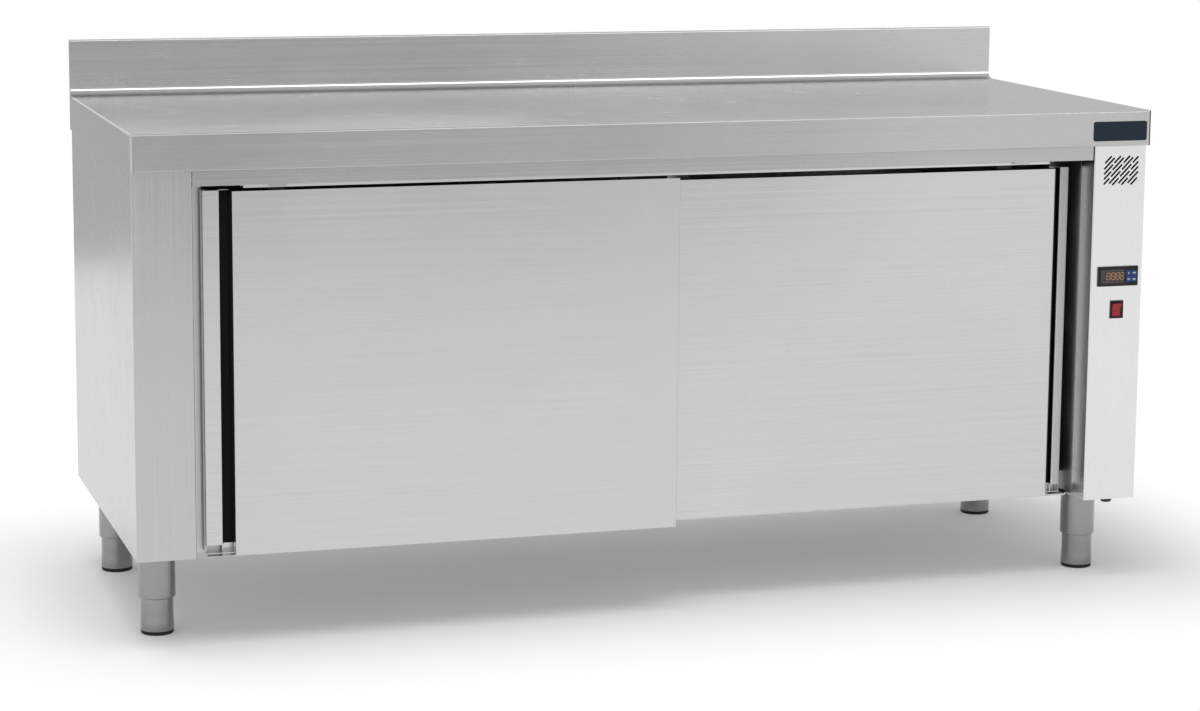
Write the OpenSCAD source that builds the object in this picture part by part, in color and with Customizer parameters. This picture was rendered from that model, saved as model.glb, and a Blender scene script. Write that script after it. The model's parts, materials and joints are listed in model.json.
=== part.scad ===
// Plate warmer cabinet: a wall-side stainless hot cupboard with two hung
// bypass doors, a coved upstand, a control column and four adjustable legs.
// Millimetres. X runs along the cabinet, Y from front to back, Z up.
// The origin is on the floor under the middle of the worktop.

/* [Overall] */
// Width of the worktop
cabinet_w = 1800; // [1500:10:2400]
// Depth of the worktop, upstand included
cabinet_d = 700; // [640:10:900]
// Height of the working surface above the floor
worktop_h = 850; // [820:5:950]

/* [Worktop] */
// Thickness of the worktop sheet
worktop_t = 1.5; // [1:0.1:2]
// Height of the apron round the worktop
apron_h = 62; // [50:1:80]
// Width of the fold under the front apron
apron_hem = 12; // [8:1:18]
// Outside radius of the bend along the worktop's edge
edge_r = 3; // [2.5:0.5:5]
// Radius of the vertical corners, seen from above
corner_r = 7; // [5:1:12]
// Height of the upstand above the worktop
upstand_h = 100; // [60:5:150]
// Thickness of the upstand
upstand_t = 15; // [10:1:30]
// Radius of the cove at the foot of the upstand
cove_r = 14; // [6:1:25]
// Width of one stiffener's crown under the worktop
stiffener_w = 44; // [30:2:60]
// Depth of a stiffener
stiffener_h = 30; // [20:1:40]
// Number of stiffeners
stiffener_count = 3; // [2:1:4]

/* [Body] */
// Thickness of the body sheets
sheet_t = 1; // [0.8:0.1:1.5]
// Inside radius of a body bend
bend_r = 1; // [0.5:0.5:2]
// Distance of the body's front behind the worktop's front
front_setback = 15; // [10:1:25]
// Distance of the body's sides inside the worktop's ends
side_setback = 2.5; // [2:0.5:6]
// Clearance between the back panel and the rear apron
rear_clearance = 0.5; // [0.3:0.1:2]
// Height of the body's lower edge above the floor
body_bottom = 150; // [120:5:200]
// Width of the left front post
post_w = 98; // [80:1:120]
// Width of the control column
column_w = 99; // [90:1:130]
// Depth of the post and of the column's inner wall
post_depth = 53; // [50:1:60]
// Outside radius of the post's and the column's rear edge
post_edge_r = 3.5; // [2:0.5:5]
// Width of the flange behind the post
post_flange = 12; // [10:1:20]
// Width of the right side panel's front flange, behind the column's cover
side_flange = 9; // [6:0.5:10]
// Thickness of the insulated left wall
left_wall_t = 40; // [35:1:60]
// Thickness of the insulated back wall
back_wall_t = 38; // [30:1:60]
// Height of the heated floor above the base pan
floor_rise = 37; // [30:1:60]
// Height of the ceiling liner below the worktop
ceiling_drop = 65; // [60:1:75]
// Width of the return flanges on the panels
panel_flange = 20; // [12:1:25]
// Distance by which the left liner's front flange passes the door's edge
jamb_lap = 4; // [3:0.5:8]

/* [Base pan] */
// Thickness of the base pan
pan_t = 1.5; // [1.2:0.1:2]
// Depth of the pan's face below the body's lower edge
pan_drop = 2.5; // [2.5:0.5:4]
// Inset of the pan's rim from the body's sides
pan_inset = 1; // [1:0.5:6]
// Width of the pan's rim
pan_rim = 12; // [10:1:16]
// Distance of the pan's front edge before the middle of the rear door
pan_reach = 4; // [3:0.5:6]
// Height of the hem along the pan's front edge
pan_hem_h = 3; // [3:0.5:6]

/* [Header and track] */
// Height of the header's strip that shows under the apron
header_show = 26; // [20:1:32]
// Gap at the header's left end
header_gap_left = 0.5; // [0.3:0.1:2]
// Gap at the header's right end
header_gap_right = 3; // [1:0.5:6]
// Depth of the header's hem
header_hem = 6; // [5:0.5:7]
// Width of the tabs on the header's lower edge
tab_w = 25; // [15:1:40]
// Height of those tabs
tab_h = 3.5; // [2:0.5:4]
// Outside width of one track channel
channel_w = 34; // [32:1:36]
// Height of the track
track_h = 34; // [32:1:36]
// Wall of the track
track_wall = 2; // [1.5:0.5:2.5]
// Slot in a channel's floor for the hanger
track_slot = 10; // [8:1:12]
// Distance of the track's ends from the middle of the cabinet
track_half = 715; // [700:5:720]
// Clearance over the front door's top
track_over_door = 5; // [4:0.5:8]
// Thickness of the carrier that the track hangs from
carrier_t = 1.5; // [1:0.1:2]

/* [Doors] */
// Thickness of a door
door_t = 40; // [38:1:42]
// Width of a door
door_w = 810; // [800:1:815]
// Distance of the front door's face behind the body's front
front_door_setback = 5; // [4:1:8]
// Gap between the two doors
door_gap = 12; // [10:1:14]
// Gap between the front door and the left post
left_gap = 19.5; // [15:0.5:25]
// Gap between the rear door and the control column
right_gap = 11.5; // [8:0.5:20]
// Gap between the header's lower edge and the front door's top
header_over_door = 10; // [8:1:14]
// Extra clearance over the rear door
rear_door_drop = 10; // [0:1:12]
// Width of the strip outside the front door's finger pull
front_strip_w = 28.5; // [15:0.5:35]
// Width of the strip outside the rear door's finger pull
rear_strip_w = 17.5; // [15:0.5:35]
// Distance of that strip behind the door's face
strip_setback = 19; // [15:1:20]
// Width of the finger pull
pull_w = 17.5; // [16:0.5:25]
// Depth of the finger pull behind the door's face
pull_depth = 30; // [25:1:32]
// Outside radius of the bend along the door's face
door_edge_r = 2.5; // [2:0.5:4]
// Depth of the door's top behind its upper edge
top_recess = 3; // [3:0.5:5]
// Width of the lip that holds the door's back
door_lip = 10; // [8:1:15]

/* [Hangers and rollers] */
// Distance of a hanger from the middle of the cabinet, door closed
hanger_at = 659; // [640:1:670]
// Travel of a door
door_travel = 715; // [650:5:720]
// Width of a hanger
hanger_w = 28; // [24:1:32]
// Thickness of a hanger
hanger_t = 3; // [2:0.5:4]
// Diameter of a roller
roller_d = 22; // [20:1:24]
// Width of a roller
roller_w = 8; // [7:0.5:9]
// Diameter of a roller's axle
axle_d = 6; // [5:0.5:8]
// Running clearance of an axle in its hanger, on the radius
axle_clearance = 0.05; // [0.02:0.01:0.1]
// Clearance between pieces that move past each other
move_clearance = 0.5; // [0.3:0.1:1]
// Length of a rubber stop in the track
stop_l = 18; // [10:1:25]

/* [Bottom guide] */
// Length of the guide, within the doors' overlap
guide_l = 34; // [24:1:36]
// Height of the guide fins above the base pan
fin_h = 13; // [10:1:14]
// Thickness of a guide fin
fin_t = 2; // [1.5:0.5:3]
// Thickness of the guide's foot
guide_foot_t = 1.5; // [1:0.1:1.8]
// Clearance of a fin in its channel, each side
fin_clearance = 1.5; // [1:0.5:2]

/* [Legs] */
// Distance of the leg centres from the worktop's ends
leg_inset = 53; // [50:1:70]
// Half of the distance between front and rear legs
leg_half_span = 223; // [200:1:240]
// Diameter of a leg's sleeve
sleeve_d = 62; // [61:0.5:64]
// Height of the sleeve's lower edge above the floor
sleeve_bottom = 62; // [55:1:70]
// Radius of the sleeve's shoulder
shoulder_r = 2.5; // [1:0.5:2.5]
// Diameter of the foot tube in the sleeve
foot_d = 54; // [50:0.5:55]
// Running clearance of the foot tube in the sleeve, on the radius
foot_clearance = 0.05; // [0.02:0.01:0.1]
// Diameter of the flared foot
flare_d = 56; // [55.5:0.5:57]
// Height of the flare
flare_h = 30; // [20:1:35]
// Wall of the foot tube
foot_wall = 2; // [1.5:0.5:3]
// Length of foot tube inside the sleeve
foot_overlap = 46; // [35:1:48]
// Height of the rubber pad under the foot
pad_h = 6; // [4:1:8]
// Thickness of a leg's mounting plate
leg_plate_t = 3; // [2:0.5:4]
// Thickness of the sleeve's closed top
sleeve_roof = 6; // [4:0.5:8]
// Diameter of the stud that holds the leg
stud_d = 16; // [12:1:20]

/* [Shelf] */
// Height of the shelf above the floor
shelf_z = 470; // [450:5:560]
// Depth of the shelf's folded edges
shelf_edge = 30; // [20:1:34]
// Thickness of the shelf
shelf_t = 1.2; // [1:0.1:1.5]
// Gap between the shelf and what lies beside it
shelf_gap = 2; // [1:0.5:5]
// Depth of a shelf upright
upright_d = 8; // [6:1:12]
// Width of a shelf upright
upright_w = 26; // [20:1:35]
// Pitch of the slots in a shelf upright
slot_pitch = 25; // [20:5:50]
// Length of a slot in a shelf upright
slot_l = 12; // [8:1:14]
// Width of a slot in a shelf upright
slot_w = 4; // [3:0.5:6]
// Side of the angle rails under the shelf
rail_w = 24; // [18:1:30]

/* [Heating] */
// Distance of the fan's axis behind the middle of the cabinet
fan_y = 40; // [0:5:80]
// Height of the fan's axis above the heated floor
fan_rise = 140; // [130:5:150]
// Side of the air cover
air_cover_w = 220; // [200:5:230]
// Depth of the air cover
air_cover_d = 55; // [50:1:60]
// Diameter of the cover's intake
intake_d = 110; // [90:5:130]
// Diameter of the fan wheel
fan_d = 128; // [110:2:140]
// Width of the fan wheel's blades
blade_w = 24; // [18:1:28]
// Number of blades
blade_count = 16; // [8:1:24]
// Diameter of the fan's shaft
shaft_d = 8; // [6:1:10]
// Diameter of the fan motor
motor_d = 76; // [60:2:84]
// Length of the fan motor
motor_l = 52; // [40:1:60]
// Diameter of the heater's tube
heater_tube_d = 8.5; // [6.5:0.5:10]
// Radius of the heater's ring
heater_ring_r = 82; // [78:1:88]

/* [Control column] */
// Height of the controller's centre above the floor
controller_z = 554.5; // [500:0.5:600]
// Width of the controller's frame
controller_w = 77; // [70:1:80]
// Height of the controller's frame
controller_h = 35; // [30:1:40]
// Depth of the controller's housing
controller_d = 58; // [40:1:75]
// Margin of the controller's frame round its housing
controller_margin = 3; // [2:0.5:4]
// Distance of the controller's face from the column
controller_proud = 4.5; // [4:0.5:6]
// Side of a controller key
key_w = 10.2; // [8:0.2:11]
// Travel of a controller key
key_travel = 0.5; // [0.3:0.1:0.8]
// Height of the switch's centre above the floor
switch_z = 494.8; // [440:0.5:510]
// Width of the switch's frame
switch_w = 25; // [24:0.5:30]
// Height of the switch's frame
switch_h = 32; // [28:0.5:36]
// Width of the rocker
rocker_w = 17; // [14:0.5:18]
// Height of the rocker
rocker_h = 24.5; // [22:0.5:26]
// Half of the angle between the rocker's two faces
rocker_tilt = 8; // [5:1:12]
// Height of the vent's centre above the floor
vent_z = 743; // [700:1:750]
// Width of the vent
vent_w = 68; // [50:1:80]
// Height of the vent
vent_h = 53; // [40:1:60]
// Width of a vent slot
vent_slot_w = 3.4; // [2:0.2:4]
// Distance between vent slots along the column's width
vent_pitch = 9; // [7:0.1:12]
// Length of a vent slot from web to web
vent_slot_l = 31; // [15:1:40]
// Width of the webs between vent slots
vent_web = 3; // [2.5:0.5:6]
// Distance of the cable gland behind the column's front
gland_back = 35; // [25:1:45]
// Diameter of the cable gland
gland_d = 22; // [16:1:26]
// Height of the gland below the body
gland_drop = 13; // [8:1:18]

/* [Hidden] */

round_fn = 48;
fine_fn = 24;
bend_steps = 3;
cove_steps = 8;
slot_steps = 5;

half_w = cabinet_w / 2;
front_y = -cabinet_d / 2;
back_y = cabinet_d / 2;
worktop_under = worktop_h - worktop_t;
apron_z = worktop_h - apron_h;
upstand_z = worktop_h + upstand_h;
upstand_y = back_y - upstand_t;
cove_start_y = upstand_y - cove_r - 2;

body_half_w = half_w - side_setback;
body_front = front_y + front_setback;
body_back = back_y - worktop_t - rear_clearance;
post_x = -body_half_w + post_w;
column_x = body_half_w - column_w;
post_back = body_front + post_depth;

pan_top = body_bottom - pan_drop;
pan_under = pan_top - pan_t;
pan_step_y = post_back + 12;
panel_top = worktop_under - (edge_r - worktop_t) / 2 - 0.5;
bend_room = 0.5 * bend_r;
panel_floor_y = pan_step_y + 8;
liner_z = body_bottom + sheet_t;

front_face_y = body_front + front_door_setback;
rear_face_y = front_face_y + door_t + door_gap;
front_door_y = front_face_y + door_t / 2;
rear_door_y = rear_face_y + door_t / 2;
pan_front = rear_door_y - pan_reach;
header_z = apron_z - header_show;
front_door_top = header_z - header_over_door;
rear_door_top = front_door_top - rear_door_drop;
front_door_x = post_x + left_gap;
rear_door_x = column_x - right_gap;
chamber_front = rear_face_y + door_t + 2;

track_z = front_door_top + track_over_door;
track_top = track_z + track_h;
tread_z = track_z + track_wall;
axle_z = tread_z + roller_d / 2 + move_clearance;

chamber_left = -body_half_w + left_wall_t;
chamber_right = column_x + sheet_t + 0.5;
chamber_back = body_back - back_wall_t;
chamber_floor = pan_top + floor_rise;
chamber_top = worktop_h - ceiling_drop;

channel_inner = fin_t / 2 + fin_clearance;
channel_top = body_bottom + fin_h + 2;

leg_x = half_w - leg_inset;
leg_mid_y = (body_front + body_back) / 2;
leg_plate_w = 2 * (leg_inset - side_setback - sheet_t - pan_inset - pan_rim);
foot_top = sleeve_bottom + foot_overlap;

column_mid = body_half_w - column_w / 2 + 2.5;
gland_x = column_mid + 10;
gland_y = body_front + gland_back;
fan_z = chamber_floor + fan_rise;

steel = "#c9cacb";
bright_steel = "#d8d9da";
dark_steel = "#8c8f92";
galvanised = "#a9adb0";
rubber_black = "#161616";
plastic_black = "#1d1d1f";
nylon_white = "#ecebe6";
wool = "#b9a25f";
switch_red = "#d11322";
glass_dark = "#2a1512";

// The left-hand normal of a direction
function left_of(v) = [-v.y, v.x] / norm(v);

// The radius at corner i, from one number or a list
function radius_at(r, i) = is_list(r) ? r[i - 1] : r;

// Points of one bend, on the face that lies s inside the outer line
function bend(p0, p1, p2, s, t, r, steps) =
    let (n0 = left_of(p1 - p0), n1 = left_of(p2 - p1), side = cross(n0, n1) > 0 ? 1 : -1,
        centre = p1 + side * (side > 0 ? r + t : r) * (n0 + n1) / (1 + n0 * n1),
        radius = side > 0 ? r + t - s : r + s,
        turn = atan2(cross(n0, n1), n0 * n1), start = atan2(n0.y, n0.x))
    [for (k = [0:steps]) let (a = start + turn * k / steps)
        centre - side * radius * [cos(a), sin(a)]];

// One face of a folded sheet
function face_line(path, s, t, r, steps) = let (last = len(path) - 1) [
    path[0] + s * left_of(path[1] - path[0]),
    for (i = [1:1:last - 1])
        each bend(path[i - 1], path[i], path[i + 1], s, t, radius_at(r, i), steps),
    path[last] + s * left_of(path[last] - path[last - 1])];

function reversed(list) = [for (i = [len(list) - 1:-1:0]) list[i]];

// Section of a sheet folded along a path. The path is the outer face and
// the sheet's thickness lies to its left; r is the bend's inside radius.
module folded(path, t = sheet_t, r = bend_r, steps = bend_steps) {
    polygon(concat(face_line(path, 0, t, r, steps),
        reversed(face_line(path, t, t, r, steps))));
}

// A section drawn in Y and Z, carried from x0 to x1
module along_x(x0, x1) {
    translate([x0, 0, 0]) rotate([90, 0, 90]) linear_extrude(x1 - x0) children();
}

// A section drawn in X and Z, carried from y0 to y1
module along_y(y0, y1) {
    translate([0, y1, 0]) rotate([90, 0, 0]) linear_extrude(y1 - y0) children();
}

// A section drawn in X and Y, carried from z0 to z1
module upright(z0, z1) {
    translate([0, 0, z0]) linear_extrude(z1 - z0) children();
}

// A rectangle from one corner to the opposite one
module area(a, b) {
    translate(a) square(b - a);
}

// A block from its lowest corner to its highest
module block(a, b) {
    translate(a) cube(b - a);
}

// A slot of width w with round ends centred on points a and b
module round_slot(a, b, w) {
    along = b - a;
    aim = atan2(along.y, along.x);
    polygon([for (end = [0, 1], k = [0:slot_steps])
        let (turn = aim - 90 + 180 * (end + k / slot_steps))
            (end == 0 ? b : a) + w / 2 * [cos(turn), sin(turn)]]);
}

// ---- worktop ----

module worktop() color(bright_steel) {
    inner_r = edge_r - worktop_t;
    rear_path = [[back_y, apron_z], [back_y, upstand_z], [upstand_y, upstand_z],
        [upstand_y, worktop_h], [cove_start_y, worktop_h]];
    rear_bends = [1, 1, cove_r];
    front_path = [[cove_start_y, worktop_h], [front_y, worktop_h], [front_y, apron_z],
        [front_y + apron_hem, apron_z], [front_y + apron_hem, apron_z + apron_hem / 2]];
    side_path = [[half_w, apron_z], [half_w, worktop_h], [half_w - corner_r, worktop_h]];
    corner_path = [[corner_r, apron_z], [corner_r, worktop_h], [0, worktop_h]];
    along_x(-half_w, half_w)
        folded(rear_path, worktop_t, rear_bends, cove_steps);
    along_x(-half_w + corner_r, half_w - corner_r)
        folded(front_path, worktop_t, [inner_r, 0.5, 0.5]);
    for (side = [0, 1]) mirror([side, 0, 0]) {
        along_y(front_y + corner_r, cove_start_y)
            folded(side_path, worktop_t, inner_r);
        along_x(half_w - worktop_t, half_w)
            polygon(concat([[cove_start_y, apron_z]],
                face_line(rear_path, 0, worktop_t, rear_bends, cove_steps)));
        translate([half_w - corner_r, front_y + corner_r, 0]) rotate(-90)
            rotate_extrude(angle = 90, $fn = round_fn)
                folded(corner_path, worktop_t, inner_r);
    }
}

module top_stiffeners() color(galvanised) {
    low = worktop_under - stiffener_h;
    foot = 18;
    first_y = chamber_front + 90;
    step = (chamber_back - 60 - first_y) / (stiffener_count - 1);
    for (i = [0:stiffener_count - 1]) {
        mid = first_y + i * step;
        along_x(post_x + 20, column_x - 20)
            folded([[mid + stiffener_w / 2 + foot, worktop_under],
                [mid + stiffener_w / 2, worktop_under], [mid + stiffener_w / 2, low],
                [mid - stiffener_w / 2, low], [mid - stiffener_w / 2, worktop_under],
                [mid - stiffener_w / 2 - foot, worktop_under]], 1.2);
    }
}

// ---- outer body ----

// The flange along the lower edge of an outer side panel
module lower_flange(x0, x1) {
    block([x0, panel_floor_y, body_bottom], [x1, body_back - 2 * sheet_t, body_bottom + sheet_t]);
}

module left_side_panel() color(steel) {
    rear = body_back - sheet_t;
    upright(body_bottom, panel_top)
        folded([[-body_half_w + panel_flange, rear], [-body_half_w, rear],
            [-body_half_w, body_front], [post_x, body_front], [post_x, post_back],
            [post_x - post_flange, post_back]],
            sheet_t, [bend_r, bend_r, bend_r, post_edge_r - sheet_t]);
    lower_flange(-body_half_w + sheet_t, -body_half_w + panel_flange);
    block([-body_half_w + sheet_t, body_front + sheet_t, body_bottom],
        [post_x - sheet_t, panel_floor_y, body_bottom + sheet_t]);
}

module right_side_panel() color(steel) {
    rear = body_back - sheet_t;
    front = body_front + sheet_t;
    upright(body_bottom, panel_top)
        folded([[body_half_w - side_flange, front], [body_half_w, front],
            [body_half_w, rear], [body_half_w - panel_flange, rear]]);
    lower_flange(body_half_w - panel_flange, body_half_w - sheet_t);
}

module back_panel() color(galvanised) {
    inner = body_back - sheet_t;
    along_x(-body_half_w, body_half_w)
        area([inner, body_bottom], [body_back, worktop_under]);
    along_x(-body_half_w + panel_flange, body_half_w - panel_flange)
        folded([[inner - panel_flange + 4, body_bottom], [inner + 0.2, body_bottom]], sheet_t);
}

// The vent's diagonal slots, broken by staggered webs and clipped to the vent
module vent_slots() {
    half = [vent_w - vent_slot_w, vent_h - vent_slot_w] / 2;
    rows = ceil((half.x + half.y) / vent_pitch);
    period = vent_slot_l + vent_web;
    diagonal = [1, 1] / sqrt(2);
    for (i = [-rows:rows]) {
        foot = i * vent_pitch;
        first = max(-half.x - foot, -half.y) * sqrt(2);
        last = min(half.x - foot, half.y) * sqrt(2);
        shift = (i % 2 == 0 ? 0 : period / 2);
        for (k = [-4:4]) {
            from = max(first, k * period + shift + (vent_web + vent_slot_w) / 2);
            to = min(last, (k + 1) * period + shift - (vent_web + vent_slot_w) / 2);
            if (to - from > vent_slot_w)
                round_slot([foot, 0] + from * diagonal, [foot, 0] + to * diagonal, vent_slot_w);
        }
    }
}

module column_cover() color(bright_steel) difference() {
    upright(body_bottom, worktop_under)
        folded([[column_x + post_flange, post_back], [column_x, post_back],
            [column_x, body_front], [body_half_w, body_front]],
            sheet_t, [post_edge_r - sheet_t, bend_r]);
    along_y(body_front - 1, body_front + sheet_t + 1) {
        translate([column_mid, vent_z]) vent_slots();
        translate([column_mid, controller_z])
            square([controller_w, controller_h] - [1, 1] * (2 * controller_margin - 0.4), true);
        translate([column_mid, switch_z])
            square([switch_w, switch_h] - [1, 1] * 2.6, true);
    }
}

module column_base() color(galvanised) difference() {
    block([column_x + sheet_t, body_front + 2 * sheet_t, body_bottom],
        [body_half_w - sheet_t, panel_floor_y - 0.5, body_bottom + sheet_t]);
    block([column_x, post_back - sheet_t, body_bottom - 1],
        [column_x + post_flange + 0.2, post_back, body_bottom + 2 * sheet_t]);
    translate([gland_x, gland_y, body_bottom - 1])
        cylinder(d = gland_d - 6, h = sheet_t + 2, $fn = round_fn);
}

// ---- heated chamber ----

module left_liner() color(steel) {
    upright(liner_z, worktop_under)
        folded([[post_x - bend_r, post_back + sheet_t], [chamber_left, post_back + sheet_t],
            [chamber_left, chamber_back + sheet_t]]);
    block([post_x - bend_r - 1, post_back, liner_z],
        [front_door_x + jamb_lap, post_back + sheet_t, track_top - 1]);
}

module right_liner() color(steel) difference() {
    upright(liner_z, worktop_under)
        folded([[chamber_right, chamber_back + sheet_t], [chamber_right, post_back],
            [chamber_right + post_flange - 1, post_back]]);
    along_x(chamber_right - 1, chamber_right + sheet_t + 1) {
        translate([fan_y, fan_z]) circle(d = shaft_d + 8, $fn = round_fn);
        for (side = [-1, 1]) translate([fan_y + side * 8, fan_z - heater_ring_r])
            circle(d = heater_tube_d + 0.1, $fn = fine_fn);
        translate([chamber_front + 140, shelf_z + 110]) circle(d = 6.1, $fn = fine_fn);
    }
}

module back_liner() color(steel) {
    along_x(chamber_left, chamber_right)
        area([chamber_back, liner_z], [chamber_back + sheet_t, worktop_under]);
}

module floor_liner() color(steel) {
    along_x(chamber_left, chamber_right)
        folded([[chamber_back, chamber_floor], [chamber_front, chamber_floor],
            [chamber_front, pan_top], [chamber_front + panel_flange, pan_top]]);
}

module ceiling_liner() color(steel) {
    along_x(chamber_left, chamber_right)
        folded([[chamber_front + panel_flange, worktop_under], [chamber_front, worktop_under],
            [chamber_front, chamber_top], [chamber_back, chamber_top]]);
}

module cabinet_insulation() color(wool) {
    inside = body_back - 2 * sheet_t;
    low = liner_z + 1;
    high = worktop_under - 5;
    near = chamber_front + 2 * sheet_t;
    far = chamber_back - 2;
    block([-body_half_w + sheet_t + bend_room, post_back + 2, low],
        [chamber_left - sheet_t, inside - bend_room, high]);
    block([chamber_left + 2, chamber_back + sheet_t, low],
        [chamber_right - 2, inside - bend_room, high]);
    block([chamber_left + 4, near, pan_top + 2 * sheet_t],
        [chamber_right - 4, far, chamber_floor - sheet_t]);
    block([chamber_left + 4, near, chamber_top + sheet_t],
        [chamber_right - 4, far, worktop_under - stiffener_h - 2]);
}

// ---- base ----

// Outline of the pan with its step behind the post and the column
module pan_outline(inset) {
    side = body_half_w - sheet_t - pan_inset - inset;
    rear = body_back - 2 * sheet_t - inset;
    step = pan_step_y + inset;
    polygon([[-side, rear], [-side, step], [post_x + 1, step], [post_x + 1, pan_front],
        [column_x - 1, pan_front], [column_x - 1, step], [side, step], [side, rear]]);
}

module base_pan() color(dark_steel) {
    upright(pan_under, pan_top) pan_outline(pan_rim);
    upright(pan_under, body_bottom) difference() {
        pan_outline(pan_rim);
        pan_outline(pan_rim + pan_t);
        area([post_x, pan_step_y - 1], [column_x, chamber_front + 5]);
    }
    upright(body_bottom - pan_t, body_bottom) difference() {
        pan_outline(0);
        pan_outline(pan_rim);
        area([post_x, pan_step_y - 1], [column_x, chamber_front + 5]);
    }
    block([post_x + 1, pan_front, pan_top - pan_hem_h],
        [column_x - 1, pan_front + 2 * pan_t, pan_top]);
}

module leg_plates() color(dark_steel) {
    for (x = [-leg_x, leg_x], y = [-leg_half_span, leg_half_span])
        translate([x, leg_mid_y + y, pan_under - leg_plate_t]) {
            translate([-leg_plate_w / 2, -leg_plate_w / 2, 0])
                cube([leg_plate_w, leg_plate_w, leg_plate_t]);
            translate([0, 0, -sleeve_roof])
                cylinder(d = stud_d, h = sleeve_roof + 1, $fn = round_fn);
        }
}

// One leg's sleeve, closed at the top round the stud
module leg_sleeve() {
    r = sleeve_d / 2;
    bore = foot_d / 2 + foot_clearance;
    top = pan_under - leg_plate_t;
    roof = top - sleeve_roof;
    rotate_extrude($fn = round_fn) {
        difference() {
            union() {
                area([bore, sleeve_bottom + shoulder_r], [r, top]);
                area([bore, sleeve_bottom], [r - shoulder_r, sleeve_bottom + shoulder_r + 1]);
                translate([r - shoulder_r, sleeve_bottom + shoulder_r])
                    circle(r = shoulder_r, $fn = round_fn);
            }
            area([0, sleeve_bottom - 1], [bore, roof]);
        }
        area([stud_d / 2 + 0.1, roof], [bore + 0.5, top]);
    }
}

module leg_sleeves() color(bright_steel) {
    for (x = [-leg_x, leg_x], y = [-leg_half_span, leg_half_span])
        translate([x, leg_mid_y + y, 0]) leg_sleeve();
}

// One foot tube with its flared lower end
module foot_tube() {
    r = foot_d / 2;
    flare = flare_d / 2;
    rotate_extrude($fn = round_fn)
        polygon([[r - foot_wall, pad_h], [flare - 0.5, pad_h], [flare, pad_h + 0.5],
            [flare, pad_h + 4], for (k = [1:5]) let (u = k / 5)
                [flare + (r - flare) * (1 - cos(180 * u)) / 2, pad_h + 4 + (flare_h - 4) * u],
            [r, foot_top - 1.5], [r - 1, foot_top], [r - foot_wall, foot_top]]);
}

module foot_pad() {
    r = flare_d / 2 - 0.5;
    rotate_extrude($fn = round_fn)
        polygon([[0, 0], [r - 1.5, 0], [r, 1.5], [r, pad_h], [foot_d / 2 - foot_wall, pad_h],
            [foot_d / 2 - foot_wall, pad_h + 6], [0, pad_h + 6]]);
}

module at_leg(side_x, side_y) {
    translate([side_x * leg_x, leg_mid_y + side_y * leg_half_span, 0]) children();
}

module front_left_foot() color(bright_steel) at_leg(-1, -1) foot_tube();
module front_right_foot() color(bright_steel) at_leg(1, -1) foot_tube();
module rear_left_foot() color(bright_steel) at_leg(-1, 1) foot_tube();
module rear_right_foot() color(bright_steel) at_leg(1, 1) foot_tube();
module front_left_pad() color(rubber_black) at_leg(-1, -1) foot_pad();
module front_right_pad() color(rubber_black) at_leg(1, -1) foot_pad();
module rear_left_pad() color(rubber_black) at_leg(-1, 1) foot_pad();
module rear_right_pad() color(rubber_black) at_leg(1, 1) foot_pad();

// ---- header, track and guide ----

module header_rail() color(steel) {
    x0 = post_x + header_gap_left;
    x1 = column_x - header_gap_right;
    along_x(x0, x1)
        folded([[body_front + panel_flange, worktop_under], [body_front, worktop_under],
            [body_front, header_z], [body_front + header_hem, header_z],
            [body_front + header_hem, header_z + header_hem]], sheet_t, 0.5);
    for (x = [-hanger_at, hanger_at]) along_y(body_front, body_front + sheet_t)
        polygon([[x - tab_w / 2 - 3, header_z + 2], [x - tab_w / 2, header_z - tab_h],
            [x + tab_w / 2, header_z - tab_h], [x + tab_w / 2 + 3, header_z + 2]]);
}

module track_carrier() color(galvanised) {
    front = body_front + sheet_t;
    along_x(post_x + header_gap_left, column_x - header_gap_left)
        folded([[front, worktop_under - 15], [front, track_top], [chamber_front, track_top],
            [chamber_front, worktop_under]], carrier_t);
}

// Section of the track: two channels, each with a slot in its floor
module track_section() {
    difference() {
        area([front_door_y - channel_w / 2, track_z], [rear_door_y + channel_w / 2, track_top]);
        for (y = [front_door_y, rear_door_y]) {
            area([y - channel_w / 2 + track_wall, tread_z],
                [y + channel_w / 2 - track_wall, track_top - track_wall]);
            area([y - track_slot / 2, track_z - 1], [y + track_slot / 2, tread_z + 1]);
        }
        area([front_door_y + channel_w / 2, track_z - 1],
            [rear_door_y - channel_w / 2, track_top - track_wall]);
    }
}

module door_track() color(bright_steel) {
    along_x(-track_half, track_half) track_section();
}

// Rubber stops inside both channels, a clearance beyond the hangers' travel
module track_stops() color(rubber_black) {
    near = hanger_at + max(hanger_w, roller_d) / 2 + move_clearance;
    inner = channel_w / 2 - track_wall;
    for (y = [front_door_y, rear_door_y], side = [0, 1]) mirror([side, 0, 0])
        translate([near, y, tread_z]) along_x(0, stop_l) {
            area([-inner, 0], [inner, track_h - 2 * track_wall]);
        }
}

// A foot on the pan's front edge, with a fin for each door, where the doors overlap
module bottom_guide() color(bright_steel) {
    overlap_mid = (front_door_x + rear_door_x) / 2;
    along_x(overlap_mid - guide_l / 2, overlap_mid + guide_l / 2) {
        area([front_door_y - 3, pan_top], [rear_door_y + 12, pan_top + guide_foot_t]);
        for (y = [front_door_y, rear_door_y]) {
            area([y - fin_t / 2, pan_top], [y + fin_t / 2, pan_top + fin_h - fin_t / 2]);
            translate([y, pan_top + fin_h - fin_t / 2]) circle(d = fin_t, $fn = fine_fn);
        }
    }
}

// ---- doors ----
// A door is drawn with its finger pull at the left: x from its outer edge,
// y from its face towards the chamber.

function pull_x(strip_w) = strip_w + pull_w;

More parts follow.
